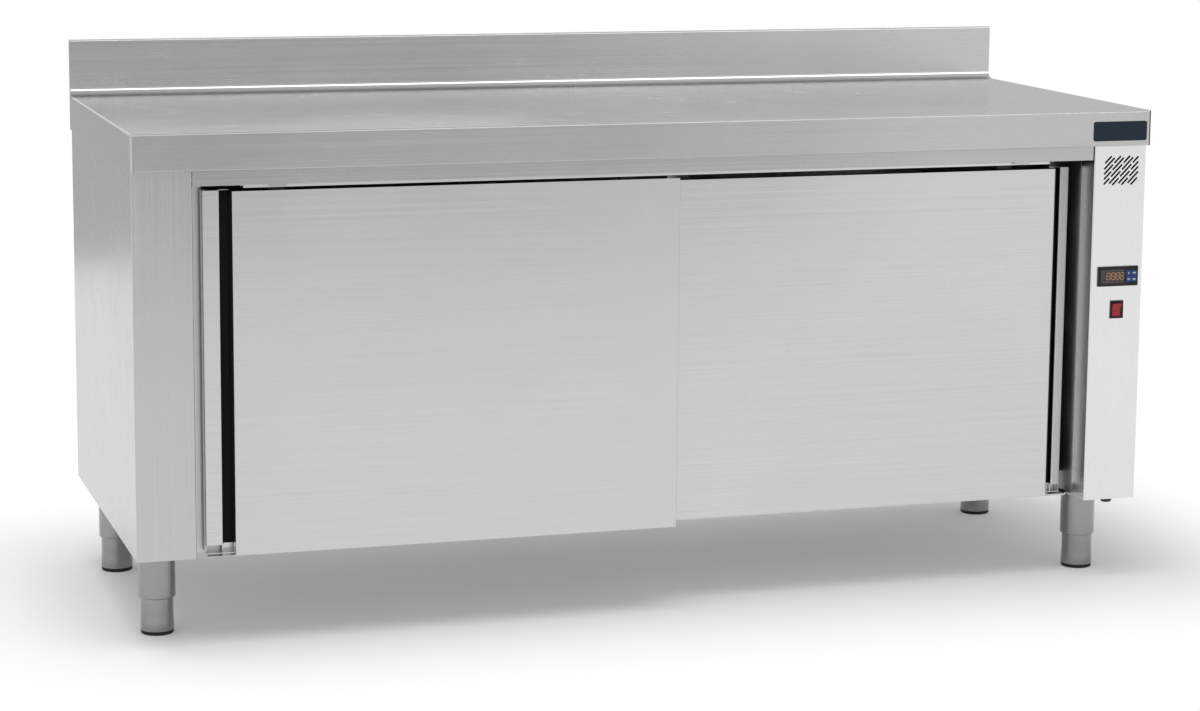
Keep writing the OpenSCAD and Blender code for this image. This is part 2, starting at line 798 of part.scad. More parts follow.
module door_skin(strip_w, top, forward) {
    lip = door_t;
    difference() {
        union() {
            upright(body_bottom, top)
                folded([[door_lip, lip], [0, lip], [0, strip_setback],
                    [strip_w, strip_setback], [strip_w, pull_depth],
                    [pull_x(strip_w), pull_depth], [pull_x(strip_w), 0], [door_w, 0],
                    [door_w, lip], [door_w - door_lip, lip]], sheet_t,
                    [bend_r, bend_r, bend_r, bend_r, bend_r,
                        door_edge_r - sheet_t, bend_r, bend_r, bend_r]);
            upright(body_bottom, body_bottom + sheet_t) door_cap(strip_w, forward);
            upright(top - top_recess - sheet_t, top - top_recess)
                door_inside(strip_w, sheet_t / 2, sheet_t / 2);
        }
        block([-1, door_t / 2 - channel_inner, body_bottom - 1],
            [door_w + 1, door_t / 2 + channel_inner, channel_top]);
    }
}

// The door's hollow, seen from above
module door_inside(strip_w, inset, back) {
    i = inset;
    polygon([[i, door_t - back], [i, strip_setback + i], [strip_w - i, strip_setback + i],
        [strip_w - i, pull_depth + i], [pull_x(strip_w) + i, pull_depth + i],
        [pull_x(strip_w) + i, i], [door_w - i, i], [door_w - i, door_t - back]]);
}

// The plate that closes the door's lower end and its finger pull, seen from above.
// It comes forward to the door's face under the strip too, or only under the pull.
module door_cap(strip_w, forward) {
    i = sheet_t / 2;
    polygon(concat([[i, door_t - i]], forward ? [[i, i]] : [[i, strip_setback + i],
        [strip_w - i, strip_setback + i], [pull_x(strip_w) + i, i]],
        [[door_w - i, i], [door_w - i, door_t - i]]));
}

// The inner sheet, with the inverted channel that runs over the guide fin
module door_back(strip_w, top) {
    inner = door_t - sheet_t;
    mid = door_t / 2;
    x0 = pull_x(strip_w) + 2 * sheet_t;
    along_x(sheet_t + bend_r, door_w - sheet_t - bend_r)
        area([inner - sheet_t, body_bottom + sheet_t], [inner, top - top_recess - sheet_t]);
    along_x(x0, door_w - 2 * sheet_t) {
        folded([[inner - sheet_t, channel_top + sheet_t],
            [mid - channel_inner - sheet_t, channel_top + sheet_t],
            [mid - channel_inner - sheet_t, body_bottom + sheet_t]], sheet_t, 0.3);
        area([mid + channel_inner, body_bottom + sheet_t],
            [mid + channel_inner + sheet_t, channel_top + sheet_t / 2]);
    }
}

module door_core(strip_w, top) {
    upright(channel_top + 3, top - top_recess - 2 * sheet_t)
        door_inside(strip_w, sheet_t + bend_room, 2 * sheet_t);
}

// Hangers: a foot on the door's top and a plate up to the roller's axle
module door_hangers(places, top) {
    seat = top - top_recess;
    for (x = places) translate([x, door_t / 2, 0]) {
        block([-hanger_w / 2, -door_t / 2 + 4, seat], [hanger_w / 2, door_t / 2 - 4, seat + hanger_t]);
        along_y(-hanger_t / 2, hanger_t / 2) difference() {
            union() {
                area([-hanger_w / 2, seat + hanger_t / 2], [hanger_w / 2, axle_z - hanger_w / 4]);
                translate([0, axle_z]) square([hanger_w / 2, hanger_w / 2], true);
                polygon([[-hanger_w / 2, axle_z - hanger_w / 4], [hanger_w / 2, axle_z - hanger_w / 4],
                    [hanger_w / 4, axle_z], [-hanger_w / 4, axle_z]]);
            }
            translate([0, axle_z]) circle(d = axle_d + 2 * axle_clearance, $fn = round_fn);
        }
    }
}

// Two rollers fixed on one axle, about the origin and along Y
module roller_pair() {
    near = hanger_t / 2 + move_clearance;
    far = near + roller_w;
    r = roller_d / 2;
    rotate([90, 0, 0]) {
        cylinder(d = axle_d, h = 2 * far + 2, center = true, $fn = round_fn);
        for (side = [0, 1]) mirror([0, 0, side])
            rotate_extrude($fn = round_fn)
                polygon([[axle_d / 2 - 0.5, near], [r - 1, near], [r, near + 1], [r, far - 1],
                    [r - 1, far], [r - 3, far], [r - 4, far - 1.5], [axle_d / 2 + 2, far - 1.5],
                    [axle_d / 2 + 1.5, far], [axle_d / 2 - 0.5, far]]);
    }
}

module at_front_door() {
    translate([front_door_x, front_face_y, 0]) children();
}

module at_rear_door() {
    translate([rear_door_x, rear_face_y, 0]) mirror([1, 0, 0]) children();
}

// Hangers sit so that the outer one meets its stop when the door is closed,
// and the inner one meets the other stop when the door is open.
hanger_span = 2 * hanger_at - door_travel;
front_hanger_places = let (inset = -hanger_at - front_door_x) [inset, inset + hanger_span];
rear_hanger_places = let (inset = rear_door_x - hanger_at) [inset, inset + hanger_span];

module front_door_skin() color(bright_steel) at_front_door()
    door_skin(front_strip_w, front_door_top, true);
module front_door_back() color(steel) at_front_door() door_back(front_strip_w, front_door_top);
module front_door_core() color(wool) at_front_door() door_core(front_strip_w, front_door_top);
module front_door_hangers() color(galvanised) at_front_door()
    door_hangers(front_hanger_places, front_door_top);
module rear_door_skin() color(bright_steel) at_rear_door()
    door_skin(rear_strip_w, rear_door_top, false);
module rear_door_back() color(steel) at_rear_door() door_back(rear_strip_w, rear_door_top);
module rear_door_core() color(wool) at_rear_door() door_core(rear_strip_w, rear_door_top);
module rear_door_hangers() color(galvanised) at_rear_door()
    door_hangers(rear_hanger_places, rear_door_top);
module front_door_outer_rollers() color(nylon_white) at_front_door()
    translate([front_hanger_places[0], door_t / 2, axle_z]) roller_pair();
module front_door_inner_rollers() color(nylon_white) at_front_door()
    translate([front_hanger_places[1], door_t / 2, axle_z]) roller_pair();
module rear_door_outer_rollers() color(nylon_white) at_rear_door()
    translate([rear_hanger_places[0], door_t / 2, axle_z]) roller_pair();
module rear_door_inner_rollers() color(nylon_white) at_rear_door()
    translate([rear_hanger_places[1], door_t / 2, axle_z]) roller_pair();

// ---- shelf ----

upright_ys = [chamber_front + 80, chamber_back - 60];
shelf_front = chamber_front + 30;
shelf_back = chamber_back - shelf_gap - 3;
shelf_left = chamber_left + upright_d + shelf_gap;
shelf_right = chamber_right - upright_d - shelf_gap;

module shelf_uprights() color(steel) {
    low = shelf_z - 7.5 * slot_pitch;
    for (y = upright_ys, side = [0, 1])
        translate([side == 0 ? chamber_left : chamber_right, y, 0]) mirror([side, 0, 0])
            difference() {
                upright(chamber_floor, chamber_top)
                    folded([[0, -upright_w / 2], [upright_d, -upright_w / 2],
                        [upright_d, upright_w / 2], [0, upright_w / 2]]);
                along_x(upright_d - sheet_t - 1, upright_d + 1)
                    for (z = [low:slot_pitch:chamber_top - slot_pitch])
                        translate([0, z]) square([slot_w, slot_l], true);
            }
}

module shelf_rails() color(steel) {
    top = shelf_z - shelf_t;
    for (side = [0, 1])
        translate([side == 0 ? chamber_left + upright_d : chamber_right - upright_d, 0, 0])
            mirror([side, 0, 0]) along_y(shelf_front + 14, shelf_back - 14)
                folded([[rail_w, top], [0, top], [0, top - rail_w]], 1.5, 1);
}

module shelf() color(bright_steel) {
    low = shelf_z - shelf_edge;
    hem = 12;
    along_x(shelf_left, shelf_right)
        folded([[shelf_back - hem, low], [shelf_back, low], [shelf_back, shelf_z],
            [shelf_front, shelf_z], [shelf_front, low], [shelf_front + hem, low]], shelf_t);
}

// ---- heating unit ----

// A disc of holes in rings, for the cover's intake
module intake_holes() {
    rings = floor(intake_d / 2 / 11);
    circle(d = 6, $fn = fine_fn);
    for (ring = [1:rings], i = [0:6 * ring - 1])
        rotate(i * 60 / ring) translate([ring * 10.5, 0]) circle(d = 6, $fn = fine_fn);
}

module air_cover() color(steel) {
    x0 = chamber_right - air_cover_d;
    half = air_cover_w / 2;
    slots = floor((air_cover_w - 50) / 14);
    translate([0, fan_y, fan_z]) difference() {
        union() {
            along_x(x0, chamber_right) difference() {
                square(air_cover_w, true);
                square(air_cover_w - 2 * sheet_t, true);
            }
            along_x(x0, x0 + sheet_t) square(air_cover_w, true);
        }
        along_x(x0 - 1, x0 + sheet_t + 1) intake_holes();
        for (i = [0:slots - 1]) let (z = (i - (slots - 1) / 2) * 14)
            block([x0 + 12, -half - 1, z - 2.5], [chamber_right - 12, half + 1, z + 2.5]);
    }
}

module fan_motor() color(dark_steel) {
    x0 = chamber_right + sheet_t;
    bore = shaft_d / 2 + 0.05;
    translate([x0, fan_y, fan_z]) rotate([0, 90, 0]) rotate_extrude($fn = round_fn)
        polygon([[bore, 0], [motor_d / 2 + 6, 0], [motor_d / 2 + 6, 3], [motor_d / 2 - 4, 3],
            [motor_d / 2 - 4, 10], [motor_d / 2, 13], [motor_d / 2, motor_l - 8],
            [motor_d / 2 - 5, motor_l], [0, motor_l], [0, 30], [bore, 30]]);
}

// A forward-curved fan wheel on its shaft, along X about the fan's axis
module fan_impeller() color(galvanised) {
    plate_x = chamber_right - 14;
    r = fan_d / 2;
    blade_r = 14;
    translate([0, fan_y, fan_z]) {
        translate([plate_x - blade_w, 0, 0]) rotate([0, 90, 0]) difference() {
            cylinder(r = r, h = 1.5, $fn = round_fn);
            translate([0, 0, -1]) cylinder(r = r - 16, h = 4, $fn = round_fn);
        }
        translate([plate_x, 0, 0]) rotate([0, 90, 0]) cylinder(r = r, h = 2, $fn = round_fn);
        translate([plate_x - 12, 0, 0]) rotate([0, 90, 0]) cylinder(r = 12, h = 13, $fn = round_fn);
        translate([plate_x, 0, 0]) rotate([0, 90, 0])
            cylinder(d = shaft_d, h = 14 + sheet_t + 24, $fn = round_fn);
        for (i = [0:blade_count - 1]) rotate([i * 360 / blade_count, 0, 0])
            along_x(plate_x - blade_w + 0.5, plate_x + 1) intersection() {
                translate([r - 9, -8]) difference() {
                    circle(r = blade_r, $fn = fine_fn);
                    circle(r = blade_r - 1.2, $fn = fine_fn);
                }
                area([r - 16, 0], [r - 1, 16]);
            }
    }
}

// Two heater rings round the fan wheel, with their ends out through the liner
module heater_element() color(dark_steel) {
    ring_x = [chamber_right - 36, chamber_right - 22];
    opening = 12;
    translate([0, fan_y, fan_z]) for (i = [0, 1]) {
        translate([ring_x[i], 0, 0]) rotate([0, 90, 0]) rotate(opening / 2)
            rotate_extrude(angle = 360 - opening, $fn = round_fn)
                translate([heater_ring_r, 0]) circle(d = heater_tube_d, $fn = fine_fn);
    }
    for (side = [-1, 1]) translate([0, fan_y + side * 8, fan_z - heater_ring_r])
        rotate([0, 90, 0]) translate([0, 0, ring_x[0]])
            cylinder(d = heater_tube_d, h = chamber_right + 30 - ring_x[0], $fn = fine_fn);
}

module temperature_probe() color(bright_steel) {
    translate([chamber_right - 60, chamber_front + 140, shelf_z + 110]) rotate([0, 90, 0]) {
        cylinder(d = 6, h = 75, $fn = fine_fn);
        sphere(d = 6, $fn = fine_fn);
        translate([0, 0, 54]) cylinder(d = 12, h = 6, $fn = 6);
    }
}

module terminal_block() color(nylon_white) {
    x0 = chamber_right + sheet_t;
    pitch = 10;
    count = 6;
    y0 = post_back + 20;
    z0 = body_bottom + 70;
    block([x0, y0, z0 - 8], [x0 + 3, y0 + count * pitch, z0 + 38]);
    for (i = [0:count - 1]) translate([x0 + 3, y0 + i * pitch, z0]) difference() {
        along_y(0.5, pitch - 0.5)
            polygon([[-0.5, 0], [18, 0], [24, 8], [24, 22], [18, 30], [-0.5, 30]]);
        for (z = [6, 24]) translate([14, pitch / 2, z]) rotate([0, 90, 0])
            cylinder(d = 5, h = 20, $fn = fine_fn);
    }
}

// ---- controls ----

module cable_gland() color(rubber_black) translate([gland_x, gland_y, body_bottom]) {
    stem = (gland_d - 6) / 2 - 0.1;
    rotate_extrude($fn = round_fn)
        polygon([[4, -gland_drop], [gland_d / 2 - 5, -gland_drop],
            for (k = [0:4]) [gland_d / 2 - 5 + 4 * sin(k * 22.5), -gland_drop + 4 - 4 * cos(k * 22.5)],
            [gland_d / 2 - 1, -3], [gland_d / 2, -3], [gland_d / 2, 0], [stem, 0], [stem, 12],
            [4, 12]]);
    translate([0, 0, sheet_t]) difference() {
        cylinder(d = gland_d + 4, h = 5, $fn = 6);
        translate([0, 0, -1]) cylinder(r = stem + 0.01, h = 8, $fn = round_fn);
    }
}

face_out = body_front - controller_proud;
housing = [controller_w, controller_h] - [1, 1] * 2 * controller_margin;
window_size = [46, 25];
window_x = -12;
pad_x = 25;
pad_pitch = key_w + move_clearance;
pad_w = pad_pitch + key_w + 2 * move_clearance;
key_places = [for (z = [pad_pitch / 2, -pad_pitch / 2], x = [-pad_pitch / 2, pad_pitch / 2])
    [pad_x + x, z]];

module controller_case() color(plastic_black) translate([column_mid, 0, controller_z]) difference() {
    union() {
        along_y(face_out + 1, body_front) square([controller_w, controller_h], true);
        along_y(face_out, face_out + 1.5) square([controller_w - 2, controller_h - 2], true);
        along_y(body_front - 0.5, body_front + controller_d) square(housing - [0.4, 0.4], true);
    }
    along_y(face_out - 1, face_out + 1.2) translate([window_x, 0]) square(window_size, true);
    along_y(face_out - 1, face_out + 3.5) translate([pad_x, 0]) square(pad_w, true);
}

module display_window() color(glass_dark) translate([column_mid + window_x, 0, controller_z])
    along_y(face_out + 0.4, face_out + 1.2) square(window_size, true);

// One key: a domed cap that stands a little proud of the controller's face
module key(place) color("#1d3f8f") translate([column_mid + place.x, 0, controller_z + place.y]) {
    along_y(face_out - 0.2, face_out + 3.5 - key_travel - 0.3) square(key_w, true);
    along_y(face_out - 0.6, face_out) square(key_w - 1, true);
}

module key_power() key(key_places[0]);
module key_up() key(key_places[1]);
module key_set() key(key_places[2]);
module key_down() key(key_places[3]);

rocker_y = body_front + 3.5;
pin_d = 3;
pin_l = switch_w - 5;

module switch_frame() color(plastic_black) translate([column_mid, 0, switch_z]) difference() {
    union() {
        along_y(body_front - 2, body_front) square([switch_w, switch_h], true);
        along_y(body_front - 2.6, body_front - 1.5) square([switch_w - 1.6, switch_h - 1.6], true);
        along_y(body_front - 0.5, body_front + 26) square([switch_w - 3, switch_h - 3], true);
    }
    along_y(body_front - 4, body_front + 14)
        square([rocker_w, rocker_h] + [1, 1] * 2 * move_clearance, true);
    translate([0, rocker_y, 0]) rotate([0, 90, 0])
        cylinder(d = pin_d + 0.1, h = pin_l + 0.8, center = true, $fn = fine_fn);
}

// The rocker's two faces meet at its middle, with its pivot pins behind
module switch_rocker() color(switch_red) translate([column_mid, rocker_y, switch_z])
    rotate([rocker_tilt, 0, 0]) {
        half = rocker_h / 2 - 0.6;
        rise = half * tan(rocker_tilt);
        along_x(-rocker_w / 2, rocker_w / 2)
            polygon([[-4, 0], [-4 - rise, half], [3, half - 1.5], [5, 0], [3, -half + 1.5],
                [-4 - rise, -half]]);
        rotate([0, 90, 0]) cylinder(d = pin_d, h = pin_l, center = true, $fn = fine_fn);
    }

worktop();
top_stiffeners();
left_side_panel();
right_side_panel();
back_panel();
column_cover();
column_base();
left_liner();
right_liner();
back_liner();
floor_liner();
ceiling_liner();
base_pan();
header_rail();
track_carrier();
door_track();
track_stops();
bottom_guide();
shelf_uprights();
shelf_rails();
shelf();
cabinet_insulation();
leg_plates();
leg_sleeves();
air_cover();
fan_motor();
heater_element();
temperature_probe();
terminal_block();
cable_gland();
controller_case();
display_window();
switch_frame();
front_door_skin();
front_door_back();
front_door_core();
front_door_hangers();
rear_door_skin();
rear_door_back();
rear_door_core();
rear_door_hangers();
front_door_outer_rollers();
front_door_inner_rollers();
rear_door_outer_rollers();
rear_door_inner_rollers();
front_left_foot();
front_right_foot();
rear_left_foot();
rear_right_foot();
front_left_pad();
front_right_pad();
rear_left_pad();
rear_right_pad();
key_up();
key_down();
key_set();
key_power();
switch_rocker();
fan_impeller();
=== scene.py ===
# Plate warmer cabinet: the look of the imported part, with a plain studio round it.
import json
import math

import bmesh
import bpy
import numpy as np
from mathutils import Matrix, Vector


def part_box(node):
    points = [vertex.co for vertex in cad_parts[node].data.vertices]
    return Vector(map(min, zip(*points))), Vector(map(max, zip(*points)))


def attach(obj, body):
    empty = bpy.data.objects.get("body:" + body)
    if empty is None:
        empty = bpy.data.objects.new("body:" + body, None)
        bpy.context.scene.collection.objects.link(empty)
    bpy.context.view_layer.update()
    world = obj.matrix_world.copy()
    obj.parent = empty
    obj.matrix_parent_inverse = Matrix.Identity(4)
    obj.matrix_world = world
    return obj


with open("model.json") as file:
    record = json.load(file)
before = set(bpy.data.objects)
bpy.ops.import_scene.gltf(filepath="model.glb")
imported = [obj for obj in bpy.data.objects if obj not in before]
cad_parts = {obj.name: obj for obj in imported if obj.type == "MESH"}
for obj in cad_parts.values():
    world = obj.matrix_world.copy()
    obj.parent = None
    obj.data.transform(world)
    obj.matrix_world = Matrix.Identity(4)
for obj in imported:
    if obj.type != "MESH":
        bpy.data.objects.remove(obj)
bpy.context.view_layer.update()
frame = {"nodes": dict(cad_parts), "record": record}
nodes = frame["nodes"]
slotOfNode = {part["node"]: part["material_slot"] for part in frame["record"]["subparts"]}
print("frame loaded:", len(nodes), "nodes")

# Camera.

camera = {
    "place": (-1.6319, -5.1274, 1.3556),  # metres, in the cabinet's own frame
    "yaw": 17.590,  # degrees to the right of the wall's direction
    "pitch": 9.003,  # degrees downwards
    "roll": 0.455,
    "focalPixels": 3030.4,  # focal length for an image 1200 pixels wide
    "imageWidth": 1200,
    "sensorWidth": 36.0,
    "clipEnd": 200.0,
    "shiftPixels": -60.5,
}


# The view's axes from yaw, pitch and roll: forward first, then right and up turned about it.
def aimCamera(s):
    yaw, pitch, roll = (math.radians(s[k]) for k in ("yaw", "pitch", "roll"))
    forward = Vector((math.sin(yaw) * math.cos(pitch), math.cos(yaw) * math.cos(pitch), -math.sin(pitch)))
    side = Vector((math.cos(yaw), -math.sin(yaw), 0.0))
    up = side.cross(forward)
    right = math.cos(roll) * side + math.sin(roll) * up
    top = -math.sin(roll) * side + math.cos(roll) * up
    data = bpy.data.cameras.new("photoCamera")
    data.sensor_fit = "HORIZONTAL"
    data.sensor_width = s["sensorWidth"]
    data.lens = s["focalPixels"] * data.sensor_width / s["imageWidth"]
    data.shift_y = s["shiftPixels"] / s["imageWidth"]
    data.clip_end = s["clipEnd"]
    obj = bpy.data.objects.new("photoCamera", data)
    bpy.context.scene.collection.objects.link(obj)
    turn = Matrix((right, top, -forward)).transposed().to_4x4()
    obj.matrix_world = Matrix.Translation(Vector(s["place"])) @ turn
    bpy.context.scene.camera = obj


aimCamera(camera)

# Node helpers for materials.


def addNode(tree, kind, **settings):
    node = tree.nodes.new(kind)
    for key, value in settings.items():
        setattr(node, key, value)
    return node


def setInputs(node, **values):
    for key, value in values.items():
        node.inputs[key.replace("_", " ")].default_value = value
    return node


def startMaterial(name):
    material = bpy.data.materials.new(name)
    material.use_nodes = True
    tree = material.node_tree
    return material, tree, tree.nodes["Principled BSDF"]


# Noise on object coordinates, stretched by one scale for each axis.
def stretchedNoise(tree, scale, detail=3.0, roughness=0.55, shift=(0.0, 0.0, 0.0)):
    where = addNode(tree, "ShaderNodeTexCoord")
    mapping = addNode(tree, "ShaderNodeMapping")
    mapping.inputs["Scale"].default_value = scale
    mapping.inputs["Location"].default_value = shift
    noise = addNode(tree, "ShaderNodeTexNoise")
    setInputs(noise, Scale=1.0, Detail=detail, Roughness=roughness)
    tree.links.new(where.outputs["Object"], mapping.inputs["Vector"])
    tree.links.new(mapping.outputs["Vector"], noise.inputs["Vector"])
    return noise.outputs["Fac"]


# A value from 0 to 1 carried to the range low to high, after the middle of it is widened.
def spread(tree, value, low, high, start=0.3, stop=0.7):
    node = addNode(tree, "ShaderNodeMapRange")
    node.inputs["From Min"].default_value = start
    node.inputs["From Max"].default_value = stop
    node.inputs["To Min"].default_value = low
    node.inputs["To Max"].default_value = high
    tree.links.new(value, node.inputs["Value"])
    return node.outputs["Result"]


# One math node; each of its two values is a number or another node's output.
def mathOf(tree, operation, a, b):
    node = addNode(tree, "ShaderNodeMath", operation=operation)
    for value, socket in ((a, node.inputs[0]), (b, node.inputs[1])):
        if isinstance(value, float):
            socket.default_value = value
        else:
            tree.links.new(value, socket)
    return node.outputs[0]


# A ramp: a value from start to stop becomes low to high, eased at both ends.
def easedRamp(tree, value, start, stop, low, high):
    node = addNode(tree, "ShaderNodeMapRange", interpolation_type="SMOOTHSTEP")
    for key, number in (("From Min", start), ("From Max", stop), ("To Min", low), ("To Max", high)):
        node.inputs[key].default_value = number
    tree.links.new(value, node.inputs["Value"])
    return node.outputs["Result"]


# A colour times a value.
def greyTimes(tree, colour, value):
    node = addNode(tree, "ShaderNodeVectorMath", operation="SCALE")
    node.inputs[0].default_value = colour[:3]
    tree.links.new(value, node.inputs["Scale"])
    return node.outputs["Vector"]


# A bump on a shader; the distance is in metres.
def addBump(tree, shader, height, strength, distance):
    bump = addNode(tree, "ShaderNodeBump")
    setInputs(bump, Strength=strength, Distance=distance)
    tree.links.new(height, bump.inputs["Height"])
    tree.links.new(bump.outputs["Normal"], shader.inputs["Normal"])


# Metals.

grainAlong = {  # streaks are long on the first axis and fine on the others, per metre
    "x": ((0.9, 700.0, 700.0), (3.0, 2300.0, 2300.0)),
    "y": ((700.0, 0.9, 700.0), (2300.0, 3.0, 2300.0)),
    "z": ((700.0, 700.0, 0.9), (2300.0, 2300.0, 3.0)),
    "round": ((60.0, 60.0, 1100.0), (90.0, 90.0, 3000.0)),
}


# Brushed sheet: tone and roughness follow two layers of long streaks, a slow cloudiness
# and a few faint rubbed patches; the finest streaks also raise the bump.
def brushedSteel(name, tone, rough, grain="x", streak=0.03, cloud=0.03, bump=0.08):
    material, tree, shader = startMaterial(name)
    broad, fine = (stretchedNoise(tree, s) for s in grainAlong[grain])
    slow = stretchedNoise(tree, (2.3, 2.3, 2.3), detail=4.0, shift=(3.1, 1.7, 0.4))
    rubbed = stretchedNoise(tree, (11.0, 11.0, 11.0), detail=6.0, roughness=0.7, shift=(0.6, 4.0, 2.0))
    shade = mathOf(tree, "ADD", spread(tree, broad, 1.0 - streak, 1.0 + streak),
                   spread(tree, fine, -streak, streak))
    shade = mathOf(tree, "ADD", shade, spread(tree, slow, -cloud, cloud))
    tree.links.new(greyTimes(tree, tone, shade), shader.inputs["Base Color"])
    roughness = mathOf(tree, "ADD", spread(tree, broad, rough - 0.04, rough + 0.04),
                       spread(tree, slow, -0.03, 0.03))
    roughness = mathOf(tree, "ADD", roughness, spread(tree, rubbed, 0.0, 0.06, start=0.55, stop=0.75))
    tree.links.new(roughness, shader.inputs["Roughness"])
    setInputs(shader, Metallic=1.0)
    addBump(tree, shader, fine, bump, 0.0002)
    return material


# Cast, coated or painted metal: a fine mottle over a plain tone.
def coatedMetal(name, tone, rough, metallic=0.0, mottle=0.08, size=160.0):
    material, tree, shader = startMaterial(name)
    grain = stretchedNoise(tree, (size, size, size), detail=4.0)
    slow = stretchedNoise(tree, (7.0, 7.0, 7.0), detail=3.0, shift=(1.0, 5.0, 2.0))
    shade = mathOf(tree, "ADD", spread(tree, grain, 1.0 - mottle, 1.0 + mottle),
                   spread(tree, slow, -0.04, 0.04))
    tree.links.new(greyTimes(tree, tone, shade), shader.inputs["Base Color"])
    tree.links.new(spread(tree, grain, rough - 0.05, rough + 0.07), shader.inputs["Roughness"])
    setInputs(shader, Metallic=metallic)
    addBump(tree, shader, grain, 0.15, 0.0003)
    return material


# Zinc: flat crystals of slightly different greys.
def zincSheet(name, tone, rough):
    material, tree, shader = startMaterial(name)
    where = addNode(tree, "ShaderNodeTexCoord")
    cells = addNode(tree, "ShaderNodeTexVoronoi")
    setInputs(cells, Scale=95.0, Randomness=1.0)
    tree.links.new(where.outputs["Object"], cells.inputs["Vector"])
    apart = addNode(tree, "ShaderNodeSeparateColor")
    tree.links.new(cells.outputs["Color"], apart.inputs["Color"])
    flake = apart.outputs["Red"]
    shade = spread(tree, flake, 0.86, 1.12, 0.0, 1.0)
    tree.links.new(greyTimes(tree, tone, shade), shader.inputs["Base Color"])
    tree.links.new(spread(tree, flake, rough - 0.06, rough + 0.08, 0.0, 1.0), shader.inputs["Roughness"])
    setInputs(shader, Metallic=0.9)
    addBump(tree, shader, flake, 0.05, 0.0002)
    return material


# Plastics, rubber and wool.


# Moulded plastic or rubber: a fine pebble in the bump and the roughness.
def moulded(name, tone, rough, pebble=900.0, strength=0.12, specular=0.5, coat=0.0):
    material, tree, shader = startMaterial(name)
    skin = stretchedNoise(tree, (pebble, pebble, pebble), detail=2.0)
    slow = stretchedNoise(tree, (25.0, 25.0, 25.0), detail=3.0, shift=(2.0, 0.0, 7.0))
    shade = mathOf(tree, "ADD", spread(tree, skin, 0.96, 1.04), spread(tree, slow, -0.05, 0.05))
    tree.links.new(greyTimes(tree, tone, shade), shader.inputs["Base Color"])
    tree.links.new(spread(tree, slow, rough - 0.03, rough + 0.05), shader.inputs["Roughness"])
    shader.inputs["Specular IOR Level"].default_value = specular
    shader.inputs["Coat Weight"].default_value = coat
    addBump(tree, shader, skin, strength, 0.0001)
    return material


# Mineral wool: long tangled fibres in two tones.
def mineralWool(name):
    material, tree, shader = startMaterial(name)
    fibre = stretchedNoise(tree, (90.0, 700.0, 700.0), detail=6.0, roughness=0.7)
    tuft = stretchedNoise(tree, (35.0, 35.0, 35.0), detail=5.0)
    shade = mathOf(tree, "ADD", spread(tree, fibre, 0.7, 1.2), spread(tree, tuft, -0.15, 0.15))
    tree.links.new(greyTimes(tree, (0.5, 0.4, 0.17), shade), shader.inputs["Base Color"])
    setInputs(shader, Roughness=0.95)
    addBump(tree, shader, fibre, 0.6, 0.002)
    return material


# A surface that glows faintly by itself, over a dark moulded body.
def glowing(name, tone, glow, strength):
    material, tree, shader = startMaterial(name)
    skin = stretchedNoise(tree, (400.0, 400.0, 400.0), detail=2.0)
    tree.links.new(greyTimes(tree, tone, spread(tree, skin, 0.85, 1.1)), shader.inputs["Base Color"])
    shader.inputs["Emission Color"].default_value = (*glow, 1.0)
    shader.inputs["Emission Strength"].default_value = strength
    setInputs(shader, Roughness=0.3)
    return material


finishes = {
    "worktop": brushedSteel("worktopSteel", (0.505, 0.507, 0.51), 0.22, "x"),
    "outer_sheet": brushedSteel("panelSteel", (0.53, 0.532, 0.535), 0.24, "z"),
    "column_sheet": brushedSteel("columnSteel", (0.755, 0.757, 0.76), 0.27, "z", streak=0.012, bump=0.03),
    "door_sheet": brushedSteel("doorSteel", (0.60, 0.602, 0.605), 0.22, "x"),
    "liner_sheet": brushedSteel("linerSteel", (0.58, 0.585, 0.59), 0.34, "z"),
    "shelf_sheet": brushedSteel("shelfSteel", (0.6, 0.605, 0.61), 0.33, "x"),
    "galvanised_sheet": zincSheet("zincSheet", (0.52, 0.53, 0.54), 0.42),
    "pan_sheet": brushedSteel("panSteel", (0.6, 0.605, 0.61), 0.36, "x"),
    "track_steel": brushedSteel("trackSteel", (0.64, 0.645, 0.65), 0.26, "x"),
    "hanger_steel": coatedMetal("hangerSteel", (0.09, 0.09, 0.095), 0.5, 0.6),
    # legs: tone kept dark as a painted reflection of the shaded surroundings under the cabinet
    "leg_steel": brushedSteel("legShadedSteel", (0.31, 0.311, 0.313), 0.14, "round", streak=0.03),
    "foot_rubber": moulded("footRubber", (0.012, 0.012, 0.012), 0.55, specular=0.3),
    "roller_nylon": moulded("rollerNylon", (0.78, 0.77, 0.72), 0.42),
    "insulation_wool": mineralWool("mineralWool"),
    "motor_metal": coatedMetal("motorPaint", (0.05, 0.052, 0.055), 0.42, 0.2),
    "heater_metal": brushedSteel("heaterSteel", (0.3, 0.27, 0.24), 0.4, "round", streak=0.12),
    "probe_metal": brushedSteel("probeSteel", (0.62, 0.625, 0.63), 0.25, "x"),
    "terminal_plastic": moulded("terminalPlastic", (0.78, 0.77, 0.7), 0.45),
    "gland_plastic": moulded("glandPlastic", (0.02, 0.02, 0.021), 0.45),
    "controller_plastic": moulded("controllerPlastic", (0.009, 0.009, 0.010), 0.4, specular=0.3),
    "display_glass": moulded("displayGlass", (0.012, 0.006, 0.006), 0.08, strength=0.0, coat=0.5),
    "key_plastic": moulded("keyPlastic", (0.012, 0.045, 0.19), 0.32, strength=0.06),
    "switch_frame_plastic": moulded("switchFramePlastic", (0.008, 0.008, 0.009), 0.3, specular=0.3),
    "rocker_plastic": moulded("rockerPlastic", (0.40, 0.004, 0.012), 0.25, strength=0.05),
}
